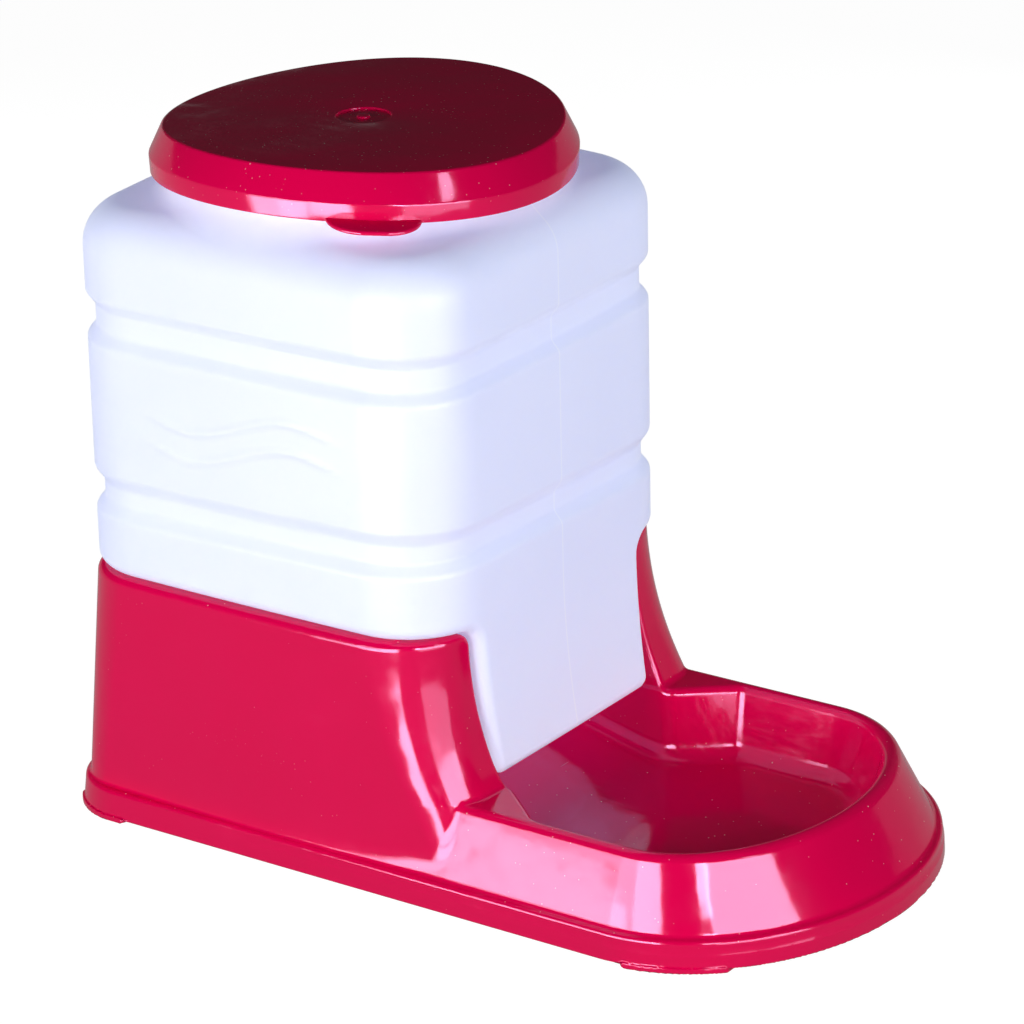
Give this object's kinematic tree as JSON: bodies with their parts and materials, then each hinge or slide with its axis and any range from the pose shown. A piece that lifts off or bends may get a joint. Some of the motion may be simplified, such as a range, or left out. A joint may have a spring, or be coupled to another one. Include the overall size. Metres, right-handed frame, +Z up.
{
  "type": "poultry gravity feeder",
  "caption": "Gravity feeder for poultry and small animals: a moulded base with a bowl, a lift-out waisted hopper and a round lift-off lid with a finger tab.",
  "frame": {"origin": "middle of the footprint, on the ground under the feet", "axes": "+Z up, -Y towards the front of the bowl, +X towards the right seen from the bowl"},
  "size_m": [0.169, 0.2986, 0.2473],
  "materials": {
    "crimson_plastic": "glossy moulded polypropylene",
    "hopper_plastic": "satin natural polyethylene, slightly translucent",
    "lid_plastic": "glossy moulded polypropylene"
  },
  "bodies": {
    "base": {"base": "crimson_plastic"},
    "hopper": {"hopper": "hopper_plastic"},
    "lid": {"lid": "lid_plastic"}
  },
  "joints": [
    {"name": "hopper_lift", "type": "slide", "parent": "base", "child": "hopper", "axis": [0, 0, 1], "range_m": [0, 0.08]},
    {"name": "lid_lift", "type": "slide", "parent": "hopper", "child": "lid", "axis": [0, 0, 1], "range_m": [0, 0.06]}
  ]
}
